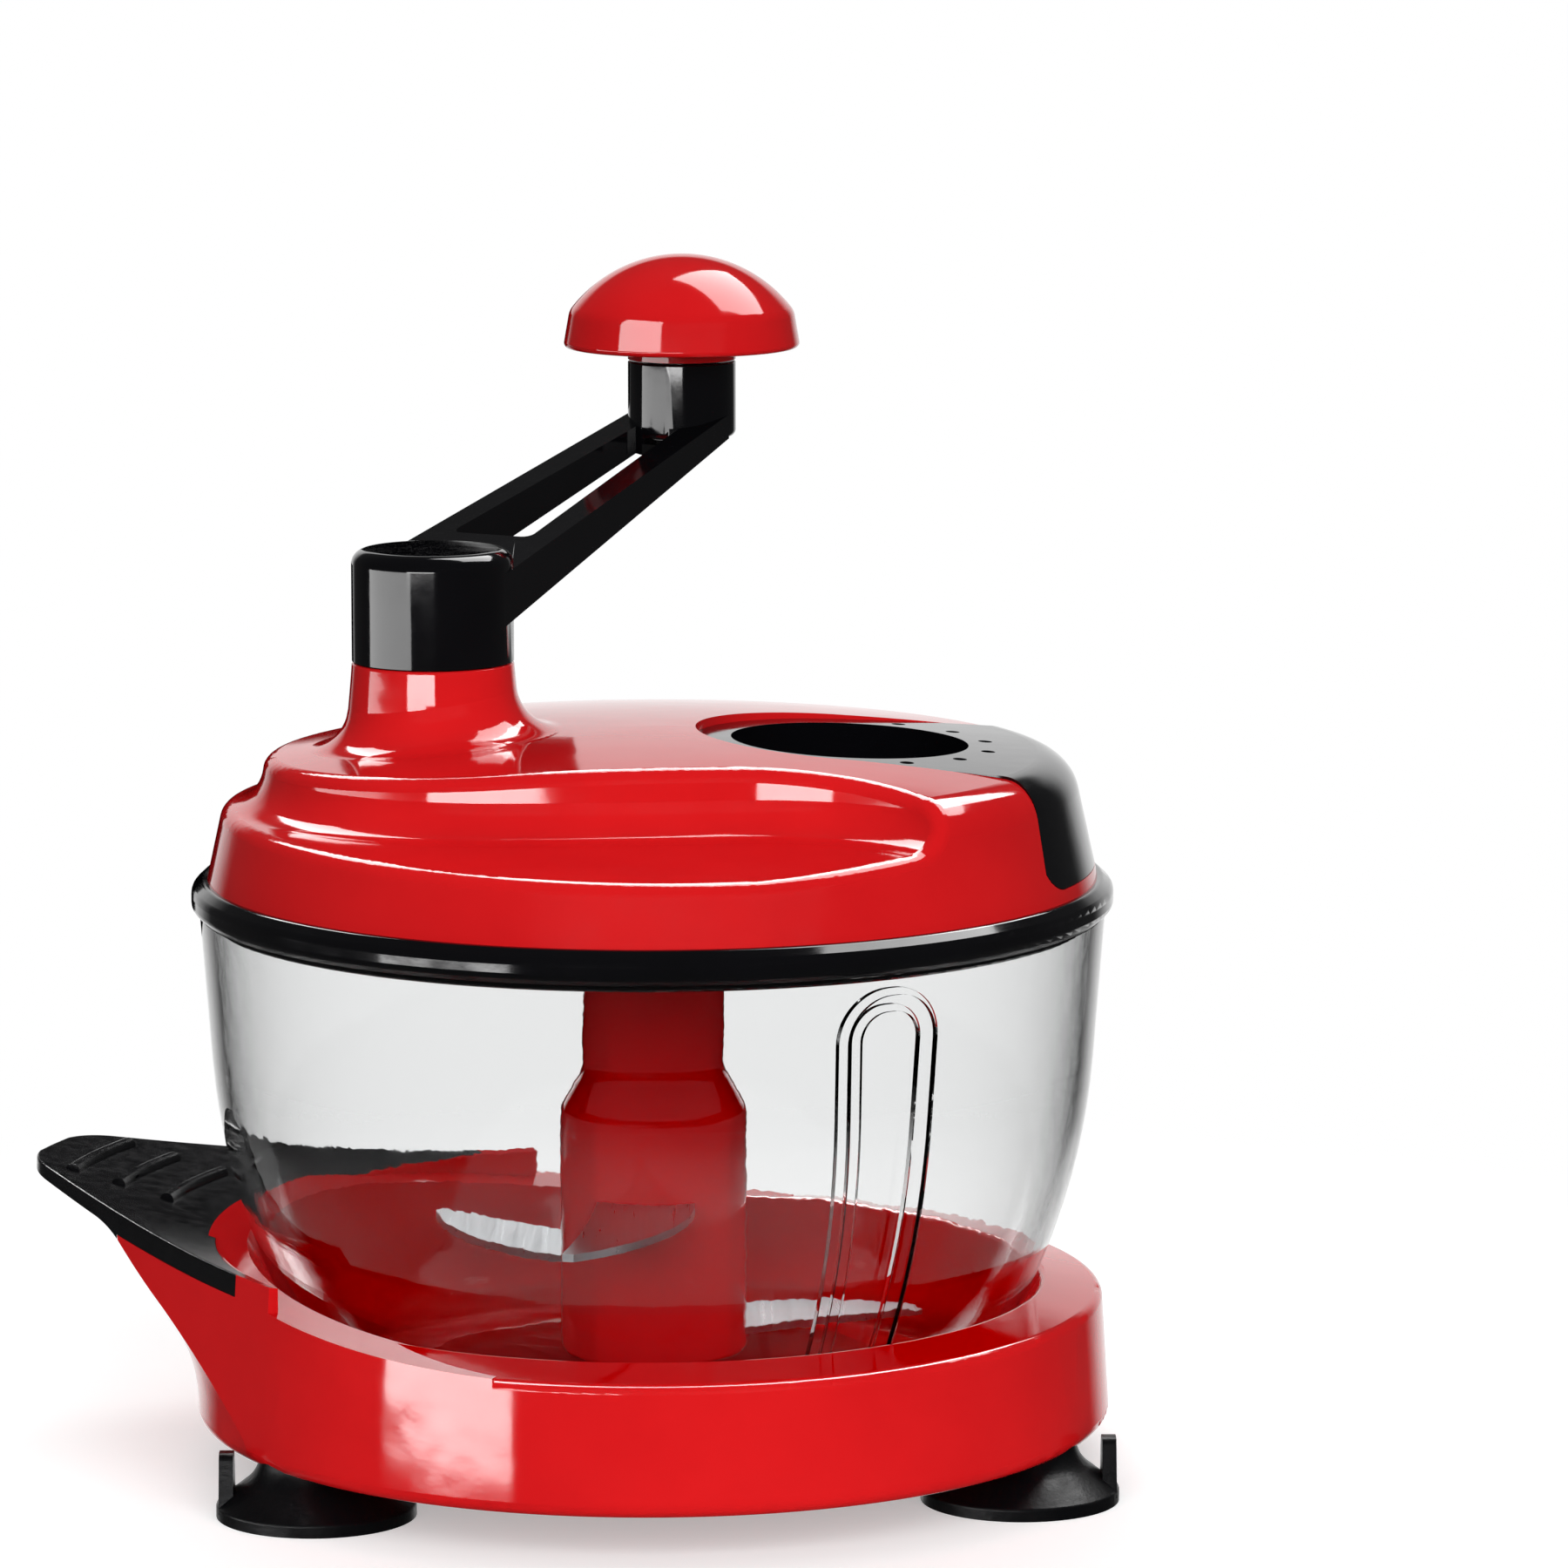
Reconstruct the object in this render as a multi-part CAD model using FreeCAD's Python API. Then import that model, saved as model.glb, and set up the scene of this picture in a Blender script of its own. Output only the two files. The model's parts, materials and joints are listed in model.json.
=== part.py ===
import FreeCAD, Part
import math
import os

from FreeCAD import Vector

# A hand-crank food processor: base with lip handle and suction feet, clear bowl with blades,
# and a lid whose crank drives the blades through a pair of gears. Millimetres, +Z up.
# The origin is on the bowl's axis, on the surface that the feet stand on.

# Clearances between pieces
RUNNING = 0.05        # radial, shaft in bearing
FIXED = 0.05          # radial, pin or boss in its fixed seat
LOOSE = 0.3           # between moving faces that never bear on each other
SEAM = 0.15           # between mouldings that show a seam

# Gears
GEAR_MODULE = 1.6
GEAR_TEETH = 41
PINION_TEETH = 13
PRESSURE_ANGLE = 25.0
BACKLASH = 0.25
DEDENDUM = 1.25       # modules
GEAR_HEIGHT = 7.0
HUB_OFFSET = GEAR_MODULE * (GEAR_TEETH + PINION_TEETH) / 2

# Suction feet
FOOT_ANGLES = {"left": 214.3, "right": 334.3, "rear": 94.3}
TAB_ANGLES = {"left": 180.0, "right": 0.0, "rear": 94.3}
FOOT_CIRCLE_R = 79.5
CUP_R = 19.5
CUP_LIP = 2.4
CUP_DEPTH = 5.0
CUP_HOLLOW_R = 8.8
CUP_LIP_ROUND = 0.8
CUP_NECK_R = 11.0
CUP_NECK_Z = 9.0
CUP_NECK_ROUND = 7.0
STUD_R = 4.0
STUD_LENGTH = 9.0
STUD_ROUND = 1.0
TAB_HEIGHT = 12.5
TAB_WIDTH = 11.0
TAB_TOP_WIDTH = 4.4
TAB_THICK = 2.8
TAB_ROUND = 1.8
TAB_INSET = 2.1

# Base tray
SEAT_Z = 16.0
TRAY_FOOT_Z = 10.0
TRAY_FOOT_R = 91.0
CREASE_R = 89.4
CREASE_Z = 35.5
RIM_INNER_Z = 37.7
TRAY_WALL = 2.6
BOWL_GAP = 1.2
FOOT_BOSS_R = 11.0
RIM_ROUND = 1.2
CREASE_ROUND = 2.0
TRAY_FOOT_ROUND = 2.5

# Lip handle, a flared band about the bowl's axis
HANDLE_ANGLE = 160.0
HANDLE_TIP_R = 131.0
HANDLE_TIP_Z = 55.6
HANDLE_TIP_THICK = 2.6
HANDLE_NOSE_R = 1.2
HANDLE_ROOT_Z = 45.5
HANDLE_TIP_HALF_WIDTH = 12.0
HANDLE_CORNER_R = 16.0
SWEEP_Z = 26.0
SWEEP_R = 34.0
FLANGE_REACH = 2.0
FLANGE_Z = 47.0
FLANGE_ROUND = 12.0
RIM_RISE_START = -21.0
RIM_RISE_R = 530.0
GRIP_THICK = 4.5
GRIP_INNER_R = 87.2
GRIP_HALF_ANGLE = 45.0
GRIP_SEAM_R = 107.0
GRIP_EDGE = 0.5
RIB_RADII = (100.5, 111.0, 121.0)
RIB_R = 1.5
RIB_HALF_LENGTH = 14.0

# Bowl
BOWL_TOP_Z = 112.0
BOWL_RIM_R = 89.6
BOWL_BELLY_R = 85.3
BOWL_BELLY_Z = 55.0
BOWL_BELLY_ROUND = 135.0
BOWL_BASE_R = 64.5
BOWL_BASE_ROUND = 26.0
BOWL_WALL = 2.5
FLUTE_ANGLE = -59.0
FLUTE_TOP_Z = 108.0
FLUTE_TOP_WIDTH = 19.8
FLUTE_FOOT_WIDTH = 14.8
FLUTE_DEPTH = 1.2         # of each of its two steps
FLUTE_STEP = 3.4
FLUTE_ROUND = 9.0
PIVOT_BOSS_R = 8.0
PIVOT_BOSS_HEIGHT = 4.0
PIVOT_PIN_R = 4.0
PIVOT_PIN_TOP_Z = 62.0
PIVOT_PIN_ROUND = 2.4

# Blade unit
SLEEVE_R = 14.0
SLEEVE_FOOT_R = 18.5
SLEEVE_FOOT_TOP_Z = 72.0
SLEEVE_FOOT_ROUND = 4.0
SLEEVE_NECK_Z = 80.0
SLEEVE_NECK_ROUND = 6.0
SLEEVE_EDGE = 1.0
SLEEVE_BUSH_R = 7.0
SLEEVE_BUSH_LENGTH = 26.0
BLADE_THICK = 1.5
BLADE_ROOT_R = 9.0
BLADE_WIDTH = 19.0
BLADE_SWEEP = 16.0
BLADE_BOW = 1.0
BLADE_HOLLOW = 6.6
BLADE_TIP_CUT = 2.0
BLADE_EYE_R = 8.0
BLADES = {
    "lower": {"z": 26.0, "angle": 20.0, "tip_r": 58.0},
    "middle": {"z": 40.0, "angle": 140.0, "tip_r": 64.0},
    "upper": {"z": 54.0, "angle": 260.0, "tip_r": 66.0},
}

# Lid
SKIRT_FOOT_R = 88.0
SKIRT_FOOT_Z = 118.8
SKIRT_LEAN = 0.22     # run per rise
LID_TOP_Z = 148.2
LID_DOME_R = 520.0
LID_SHOULDER = 9.0
LID_WALL = 2.6
LEDGE_Z = 133.6
LEDGE_FALL = 0.085    # drop per run, away from the plateau
RECESS_EDGE_R = 3.0
RECESS_FOOT_R = 8.0
RECESS_TURN = 150.0
PLATEAU_CENTRE_X = -29.0
PLATEAU_R = 48.5
PLATEAU_LEAN = 0.1    # run per rise
PLATEAU_FRONT_R = 300.0
FLARE_X = 14.0
HUB_R = 16.0
HUB_FOOT_R = 17.7
HUB_SEAT_Z = 142.0
HUB_TOP_Z = 161.2
HUB_FOOT_ROUND = 9.0
HUB_EDGE_R = 0.6

# Ring and seal
RING_R = 91.2
RING_BORE_R = 82.6
RING_SPIGOT_R = 86.0
RING_FOOT_Z = 110.5
RING_UPSTAND = 3.7
RING_EDGE = 0.5
BEAD_SINK = 2.2
BEAD_FOOT_ROUND = 1.6
BEAD_TOP_ROUND = 2.0
BEAD_LIP_ROUND = 1.0
SEAL_R = 0.7

# Feed insert
FEED_X = 39.0
FEED_R = 23.5
FEED_WALL = 1.5
FEED_FOOT_Z = 113.0
INSERT_RING_R = 30.5
INSERT_TOP_Z = 146.35
INSERT_DOME_R = 900.0
INSERT_EDGE_X = 69.0
INSERT_EDGE_HALF = 34.0
INSERT_CORNER = 6.0
TONGUE_FLARE = 27.0
TONGUE_WIDENING = 1.15    # half width per run
TONGUE_FOOT_Z = 121.2
TONGUE_HALF = 42.6
TONGUE_CORNER = 7.0
VENT_R = 1.4
VENT_CIRCLE_R = 27.9
VENT_ANGLES = (-68.0, -41.0, -14.0, 14.0, 41.0, 68.0)

# Gear case
COVER_Z = 114.5
COVER_THICK = 2.5
COVER_RIM = 2.0
COVER_EDGE = 1.0
GEAR_Z = 122.5
SCREW_CIRCLE_R = 75.0
SCREW_ANGLES = (-130.0, -75.0, 75.0, 130.0)
SCREW_R = 1.25
SCREW_LENGTH = 12.0
SCREW_HEAD_R = 3.2
SCREW_HEAD_HEIGHT = 2.0
SCREW_HEAD_ROUND = 1.0
SCREW_TIP_ROUND = 0.6
SCREW_BOSS_R = 4.0

# Pinion
PINION_TOP_R = 4.0
PINION_TOP_LENGTH = 8.0
PINION_BOSS_R = 8.5
PINION_COLLAR_R = 9.0
PINION_JOURNAL_R = 7.0
DOG_FLATS = 11.0
DOG_FOOT_Z = 98.0

# Crank
CRANK_ANGLE = 60.0
CRANK_LENGTH = 99.0
CRANK_TOP_Z = 183.6
CRANK_TOP_ROUND = 3.0
ARM_HUB_TOP_Z = 179.0
ARM_HUB_FOOT_Z = 168.5
ARM_NECK_TOP_Z = 201.5
ARM_NECK_FOOT_Z = 196.5
NECK_R = 11.2
NECK_TOP_Z = 212.3
NECK_FOOT_ROUND = 1.5
NECK_EDGE = 0.5
SLOT_START = 22.0
SLOT_WIDTH = 9.5
SLOT_TIP_WIDTH = 6.0
SLOT_CORNER = 2.0
SHAFT_R = 6.0
SHAFT_HEX_FLATS = 10.0
SHAFT_HEX_TOP_Z = 178.0
SHAFT_SHOULDER_Z = 134.5
GEAR_HEX_FLATS = 9.0
GEAR_BOSS_R = 9.0
GEAR_HOLE_R = 5.5
GEAR_HOLE_CIRCLE_R = 20.0
GEAR_HOLES = 6
BUSH_R = 8.5
BUSH_FLANGE_R = 12.0
BUSH_FLANGE = 2.5
BUSH_EDGE = 0.5
WASHER_R = 8.0
WASHER_THICK = 1.2
WASHER_EDGE = 0.3
GEAR_SCREW_R = 1.6
GEAR_SCREW_LENGTH = 12.0
GEAR_SCREW_HEAD_R = 4.0
GEAR_SCREW_HEAD = 2.4

# Knob
KNOB_RIM_R = 24.6
KNOB_RIM_Z = 215.0
KNOB_SHOULDER_R = 23.3
KNOB_SHOULDER_Z = 222.5
KNOB_TOP_Z = 234.3
KNOB_ROUND = 4.0
KNOB_WALL = 2.2
KNOB_RECESS = 5.0
KNOB_PIN_R = 4.0
KNOB_PIN_SINK = 14.0
KNOB_HEAD_R = 6.4
KNOB_HEAD = 2.0
KNOB_HEAD_ROUND = 0.8
KNOB_RIM_ROUND = 1.0
KNOB_COLLAR = 1.8
KNOB_RECESS_ROUND = 2.0
KNOB_BUSH_R = 8.0
KNOB_BUSH_TOP_Z = 223.5

UP = Vector(0, 0, 1)
ORIGIN = Vector(0, 0, 0)
SHORTEST = 1e-6
CLOSE = 1e-3

HUB_AXIS = Vector(-HUB_OFFSET, 0, 0)
KNOB_AXIS = HUB_AXIS + Vector(
    CRANK_LENGTH * math.cos(math.radians(CRANK_ANGLE)),
    CRANK_LENGTH * math.sin(math.radians(CRANK_ANGLE)), 0)


# Shapes that several pieces use

def upright(u, v):
    """A point of a profile that stands on the XZ plane."""
    return Vector(u, 0, v)


def flat(u, v):
    """A point of an outline on the XY plane."""
    return Vector(u, v, 0)


def rounded_wire(corners, place):
    """A closed wire through (u, v) or (u, v, radius) corners, rounded by tangent arcs."""
    starts, middles, ends = [], [], []
    for index, corner in enumerate(corners):
        here = Vector(corner[0], corner[1], 0)
        radius = corner[2] if len(corner) > 2 else 0
        if not radius:
            starts.append(here)
            middles.append(None)
            ends.append(here)
            continue
        before = corners[index - 1]
        after = corners[(index + 1) % len(corners)]
        back = (Vector(before[0], before[1], 0) - here).normalize()
        ahead = (Vector(after[0], after[1], 0) - here).normalize()
        half = back.getAngle(ahead) / 2
        bisector = (back + ahead).normalize()
        starts.append(here + back * (radius / math.tan(half)))
        middles.append(here + bisector * (radius / math.sin(half) - radius))
        ends.append(here + ahead * (radius / math.tan(half)))
    edges = []
    for index, middle in enumerate(middles):
        following = starts[(index + 1) % len(corners)]
        if middle:
            points = [place(p.x, p.y) for p in (starts[index], middle, ends[index])]
            edges.append(Part.Arc(*points).toShape())
        if ends[index].distanceToPoint(following) > SHORTEST:
            line = (place(ends[index].x, ends[index].y), place(following.x, following.y))
            edges.append(Part.LineSegment(*line).toShape())
    return Part.Wire(edges)


def line(start, end):
    return Part.LineSegment(start, end).toShape()


def arc_about(centre, start, end):
    """An arc on the XZ plane about a centre, anticlockwise from one point to another."""
    circle = Part.Circle(centre, Vector(0, -1, 0), centre.distanceToPoint(start))
    circle.XAxis = Vector(1, 0, 0)
    turns = [math.atan2(point.z - centre.z, point.x - centre.x) for point in (start, end)]
    return Part.ArcOfCircle(circle, *turns).toShape()


def edges_on(body, first, second, low_z):
    """Edges of a body that lie on the faces of two other shapes, above a height."""
    skins = [Part.makeCompound(shape.Faces) for shape in (first, second)]
    found = []
    for edge in body.Edges:
        if edge.Degenerated or edge.BoundBox.ZMax < low_z:
            continue
        middle = Part.Vertex(edge.valueAt((edge.FirstParameter + edge.LastParameter) / 2))
        if all(middle.distToShape(skin)[0] < CLOSE for skin in skins):
            found.append(edge)
    return found


def revolve(corners, axis=ORIGIN):
    """A solid of revolution about an upright axis, from (radius, z) corners."""
    shape = Part.Face(rounded_wire(corners, upright)).revolve(ORIGIN, UP, 360)
    shape.translate(axis)
    return shape


def prism(corners, low, high):
    """An upright solid between two heights, from (x, y) corners."""
    face = Part.Face(rounded_wire(corners, flat))
    face.translate(Vector(0, 0, low))
    return face.extrude(Vector(0, 0, high - low))


def cylinder(radius, low, high, axis=ORIGIN):
    return Part.makeCylinder(radius, high - low, axis + Vector(0, 0, low))


def hexagon(flats, low, high, axis=ORIGIN):
    """A six-sided bar, given the distance across its flats."""
    corner = flats / math.sqrt(3)
    angles = [math.radians(60 * side) for side in range(6)]
    bar = prism([(corner * math.cos(a), corner * math.sin(a)) for a in angles], low, high)
    bar.translate(axis)
    return bar


def turned(shape, angle, axis=ORIGIN):
    """A copy turned about an upright axis."""
    copy = shape.copy()
    copy.rotate(axis, UP, angle)
    return copy


def polar(radius, angle):
    return Vector(radius * math.cos(math.radians(angle)), radius * math.sin(math.radians(angle)), 0)


def fused(first, *others):
    return first.fuse(list(others)).removeSplitter()


def parallel_path(corners, distance):
    """An open path of (u, v, radius) corners moved to its left by a distance."""
    normals = []
    for (u0, v0, _), (u1, v1, _) in zip(corners, corners[1:]):
        normals.append(Vector(v0 - v1, u1 - u0, 0).normalize())
    moved = []
    for index, (u, v, radius) in enumerate(corners):
        before = normals[max(index - 1, 0)]
        after = normals[min(index, len(normals) - 1)]
        step = (before + after) * (distance / (1 + before.dot(after)))
        turn = before.x * after.y - before.y * after.x
        grown = radius - math.copysign(distance, turn) if radius else 0
        moved.append((u + step.x, v + step.y, grown))
    return moved


# Base

BOWL_SLOPE = (BOWL_BELLY_R - BOWL_BASE_R) / (BOWL_BELLY_Z - SEAT_Z)


def recess_r(z, offset=0.0):
    """Radius of the tray's recess, which follows the slope of the bowl's foot."""
    side = math.hypot(1, BOWL_SLOPE)
    return BOWL_BASE_R + BOWL_SLOPE * (z - SEAT_Z) + (BOWL_GAP + offset) * side


def tray_r(z):
    """Radius of the tray's outer wall, which leans in towards its rim."""
    lean = (TRAY_FOOT_R - CREASE_R) / (CREASE_Z - TRAY_FOOT_Z)
    return TRAY_FOOT_R - lean * (z - TRAY_FOOT_Z)


def handle_top_z(radius):
    """Height of the lip's top face, which climbs from the rim to the tip."""
    climb = (HANDLE_TIP_Z - HANDLE_ROOT_Z) / (HANDLE_TIP_R - GRIP_INNER_R)
    return HANDLE_ROOT_Z + climb * (radius - GRIP_INNER_R)


def sector(half_turn, high):
    """An upright wedge about +X from the axis out past the lip's tip."""
    far_x, far_y = 2 * HANDLE_TIP_R * math.cos(half_turn), 2 * HANDLE_TIP_R * math.sin(half_turn)
    return prism([(0, 0), (far_x, -far_y), (far_x, far_y)], 0, high)


def lip_wedge():
    """Space between the lip's two flat sides, which run off the tray's wall."""
    tip_r = math.hypot(HANDLE_TIP_R, HANDLE_TIP_HALF_WIDTH)
    turn = math.atan2(HANDLE_TIP_HALF_WIDTH, HANDLE_TIP_R) + math.acos(tray_r(HANDLE_TIP_Z) / tip_r)
    high = HANDLE_TIP_Z + GRIP_THICK
    slabs = []
    for way in (turn, -turn):
        out = Vector(math.cos(way), math.sin(way), 0)
        along = out.cross(UP) * tip_r
        low_edge, high_edge = out * tray_r(0), out * tray_r(high) + UP * high
        corners = [low_edge - along, low_edge + along, high_edge + along, high_edge - along]
        side = Part.Face(Part.makePolygon(corners + corners[:1]))
        slabs.append(side.extrude(out * (-2 * tip_r)))
    return sector(turn, high).common(slabs[0]).common(slabs[1])


def handle_plan():
    """Plan of the lip, pointing along +X: a wedge cut by the tip's arc, its corners rounded."""
    arc_r = HANDLE_TIP_R + SEAM
    plan = lip_wedge().common(cylinder(arc_r, 0, KNOB_TOP_Z))
    corners = [edge for edge in plan.Edges
               if edge.BoundBox.ZLength > HANDLE_TIP_Z and edge.BoundBox.XMin > GRIP_SEAM_R]
    return plan.makeFillet(HANDLE_CORNER_R, corners)


def handle_block():
    """The whole lip, grip included: a flared band cut to the lip's plan."""
    tip_foot_z = HANDLE_TIP_Z - HANDLE_TIP_THICK
    root_r = CREASE_R - TRAY_WALL
    band = revolve([
        (root_r, TRAY_FOOT_Z + TRAY_WALL),
        (TRAY_FOOT_R, TRAY_FOOT_Z + TRAY_WALL),
        (TRAY_FOOT_R, SWEEP_Z, SWEEP_R),
        (GRIP_SEAM_R + FLANGE_REACH, FLANGE_Z, FLANGE_ROUND),
        (HANDLE_TIP_R, tip_foot_z, HANDLE_NOSE_R), (HANDLE_TIP_R, HANDLE_TIP_Z),
        (root_r, handle_top_z(root_r))])
    return band.common(handle_plan()).removeSplitter()


def on_lip_top(edge):
    """Whether an edge ends on the lip's top face."""
    return all(abs(end.Z - handle_top_z(math.hypot(end.X, end.Y))) < CLOSE for end in edge.Vertexes)


def grip_space(clearance):
    """Part of the lip that the grip fills, kept off the tray's part by a clearance."""
    inner_r, seam_r = GRIP_INNER_R + clearance, GRIP_SEAM_R + clearance
    top = handle_top_z(GRIP_INNER_R) - GRIP_THICK + clearance
    seam_top = handle_top_z(GRIP_SEAM_R) - GRIP_THICK + clearance
    core = revolve([
        (0, 0), (seam_r, 0), (seam_r, seam_top), (inner_r, top),
        (inner_r, KNOB_TOP_Z), (0, KNOB_TOP_Z)])
    half_turn = math.radians(GRIP_HALF_ANGLE) - clearance / GRIP_INNER_R
    return handle_block().cut(core).common(sector(half_turn, KNOB_TOP_Z)).removeSplitter()


def handle_grip():
    """Soft grip over the lip, with ribs about the bowl's axis."""
    grip = grip_space(SEAM)
    brim = [edge for edge in grip.Edges if edge.BoundBox.XMax > GRIP_SEAM_R
            and edge.BoundBox.YLength > CLOSE and on_lip_top(edge)]
    grip = grip.makeFillet(GRIP_EDGE, brim)
    span = Part.makeBox(HANDLE_TIP_R, 2 * RIB_HALF_LENGTH, KNOB_TOP_Z, Vector(0, -RIB_HALF_LENGTH, 0))
    for rib_r in RIB_RADII:
        rib = Part.makeTorus(rib_r, RIB_R, Vector(0, 0, handle_top_z(rib_r)))
        grip = grip.fuse(rib.common(span))
    return turned(grip.removeSplitter(), HANDLE_ANGLE)


def raised_rim():
    """The tray's rim where it climbs to the lip, under a long arc seen from the side."""
    low_z = CREASE_Z - 2 * TRAY_WALL
    ring = revolve([
        (recess_r(low_z), low_z), (tray_r(low_z), low_z),
        (tray_r(HANDLE_TIP_Z), HANDLE_TIP_Z), (recess_r(HANDLE_TIP_Z), HANDLE_TIP_Z)])
    side = Part.Face(Part.Wire([
        Part.LineSegment(Vector(0, 0, low_z), Vector(TRAY_FOOT_R, 0, low_z)).toShape(),
        Part.LineSegment(Vector(TRAY_FOOT_R, 0, low_z), rise_point(TRAY_FOOT_R)).toShape(),
        Part.Arc(rise_point(TRAY_FOOT_R), rise_point(TRAY_FOOT_R / 2), rise_point(0)).toShape(),
        Part.LineSegment(rise_point(0), Vector(0, 0, low_z)).toShape()]))
    side.translate(Vector(0, -TRAY_FOOT_R, 0))
    return ring.common(side.extrude(Vector(0, 2 * TRAY_FOOT_R, 0)))


def rise_point(x):
    """A point of the rim's climbing line, at a distance along the lip's direction."""
    run = x - RIM_RISE_START
    return Vector(x, 0, CREASE_Z + RIM_RISE_R - math.sqrt(RIM_RISE_R ** 2 - run ** 2))


def base_tray():
    """Moulded dish with a hollow rim, bosses for the feet and the core of the lip."""
    channel_top = CREASE_Z - TRAY_WALL
    floor_z = SEAT_Z - TRAY_WALL
    body = revolve([
        (0, SEAT_Z), (recess_r(SEAT_Z), SEAT_Z, BOWL_BASE_ROUND),
        (recess_r(RIM_INNER_Z), RIM_INNER_Z, RIM_ROUND), (CREASE_R, CREASE_Z, CREASE_ROUND),
        (TRAY_FOOT_R, TRAY_FOOT_Z, TRAY_FOOT_ROUND), (0, TRAY_FOOT_Z)])
    hollow = revolve([
        (0, 0), (TRAY_FOOT_R - TRAY_WALL, 0),
        (tray_r(channel_top) - TRAY_WALL, channel_top, CREASE_ROUND),
        (recess_r(channel_top, TRAY_WALL), channel_top, CREASE_ROUND),
        (recess_r(floor_z, TRAY_WALL), floor_z, BOWL_BASE_ROUND), (0, floor_z)])
    dish = body.cut(hollow)
    bosses = []
    studs = []
    for angle in FOOT_ANGLES.values():
        centre = polar(FOOT_CIRCLE_R, angle)
        bosses.append(cylinder(FOOT_BOSS_R, TRAY_FOOT_Z, CREASE_Z, centre).common(body))
        studs.append(cylinder(STUD_R + FIXED, 0, TRAY_FOOT_Z + STUD_LENGTH + LOOSE, centre))
    lip = raised_rim().fuse(handle_block()).cut(grip_space(0))
    return fused(dish, turned(lip, HANDLE_ANGLE), *bosses).cut(studs)


def suction_foot(name):
    """Rubber cup with a stud into the tray and an upright pull tab on its outer edge."""
    cup = revolve([
        (0, CUP_DEPTH), (CUP_HOLLOW_R, CUP_DEPTH, CUP_DEPTH), (CUP_R - CUP_LIP, 0),
        (CUP_R, 0), (CUP_R, CUP_LIP, CUP_LIP_ROUND), (CUP_NECK_R, CUP_NECK_Z, CUP_NECK_ROUND),
        (CUP_NECK_R, TRAY_FOOT_Z), (STUD_R, TRAY_FOOT_Z),
        (STUD_R, TRAY_FOOT_Z + STUD_LENGTH, STUD_ROUND), (0, TRAY_FOOT_Z + STUD_LENGTH)])
    foot, top = TAB_WIDTH / 2, TAB_TOP_WIDTH / 2
    outline = rounded_wire([
        (-foot, CUP_LIP / 2), (foot, CUP_LIP / 2),
        (top, TAB_HEIGHT, TAB_ROUND), (-top, TAB_HEIGHT, TAB_ROUND)],
        lambda u, v: Vector(CUP_R - TAB_INSET - TAB_THICK / 2, u, v))
    tab = Part.Face(outline).extrude(Vector(TAB_THICK, 0, 0))
    whole = fused(cup, turned(tab, TAB_ANGLES[name]))
    whole.translate(polar(FOOT_CIRCLE_R, FOOT_ANGLES[name]))
    return whole


# Bowl

def bowl_path():
    """The bowl's outer face, from the axis to the rim."""
    return [(0, SEAT_Z, 0), (BOWL_BASE_R, SEAT_Z, BOWL_BASE_ROUND),
            (BOWL_BELLY_R, BOWL_BELLY_Z, BOWL_BELLY_ROUND), (BOWL_RIM_R, BOWL_TOP_Z, 0)]


def bowl_filled(inset):
    """The space inside the bowl's outer face moved in by a distance, up to past the rim."""
    path = parallel_path(bowl_path(), inset)
    rim_r = path[-1][0]
    return revolve(path + [(rim_r, BOWL_TOP_Z + BOWL_WALL), (0, BOWL_TOP_Z + BOWL_WALL)])


def flute(inset, depth):
    """One step of the flute: a slice of the bowl from a depth, under an arch moved in by a distance."""
    top, foot = FLUTE_TOP_WIDTH / 2 - inset, FLUTE_FOOT_WIDTH / 2 - inset
    top_z, rounding = FLUTE_TOP_Z - inset, FLUTE_ROUND - inset
    outline = rounded_wire([
        (-foot, SEAT_Z), (foot, SEAT_Z), (top, top_z, rounding), (-top, top_z, rounding)],
        lambda u, v: Vector(BOWL_BASE_R / 2, u, v))
    arch = Part.Face(outline).extrude(Vector(BOWL_RIM_R, 0, 0))
    return bowl_filled(depth).cut(bowl_filled(depth + FLUTE_DEPTH)).common(turned(arch, FLUTE_ANGLE))


def bowl():
    """Clear bowl with a pivot boss in its floor and one stepped flute pressed into its wall."""
    outside = revolve(bowl_path() + [(0, BOWL_TOP_Z)])
    floor_z = SEAT_Z + BOWL_WALL
    boss = cylinder(PIVOT_BOSS_R, SEAT_Z, floor_z + PIVOT_BOSS_HEIGHT)
    hole = cylinder(PIVOT_PIN_R + FIXED, SEAT_Z + BOWL_WALL / 2, BOWL_TOP_Z)
    margin = BOWL_WALL / 2
    bulges = [flute(-margin, BOWL_WALL), flute(FLUTE_STEP - margin, BOWL_WALL + FLUTE_DEPTH)]
    body = fused(outside.cut(bowl_filled(BOWL_WALL)), boss, *bulges).cut(hole)
    return body.cut([flute(0, 0), flute(FLUTE_STEP, FLUTE_DEPTH)])


def pivot_pin():
    """Steel pin in the bowl's floor on which the blade unit turns."""
    return revolve([
        (0, SEAT_Z + BOWL_WALL / 2), (PIVOT_PIN_R, SEAT_Z + BOWL_WALL / 2),
        (PIVOT_PIN_R, PIVOT_PIN_TOP_Z, PIVOT_PIN_ROUND), (0, PIVOT_PIN_TOP_Z)])


# Blade unit

SLEEVE_FOOT_Z = SEAT_Z + BOWL_WALL + PIVOT_BOSS_HEIGHT + LOOSE
SLEEVE_TOP_Z = FEED_FOOT_Z - 2 * LOOSE


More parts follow.
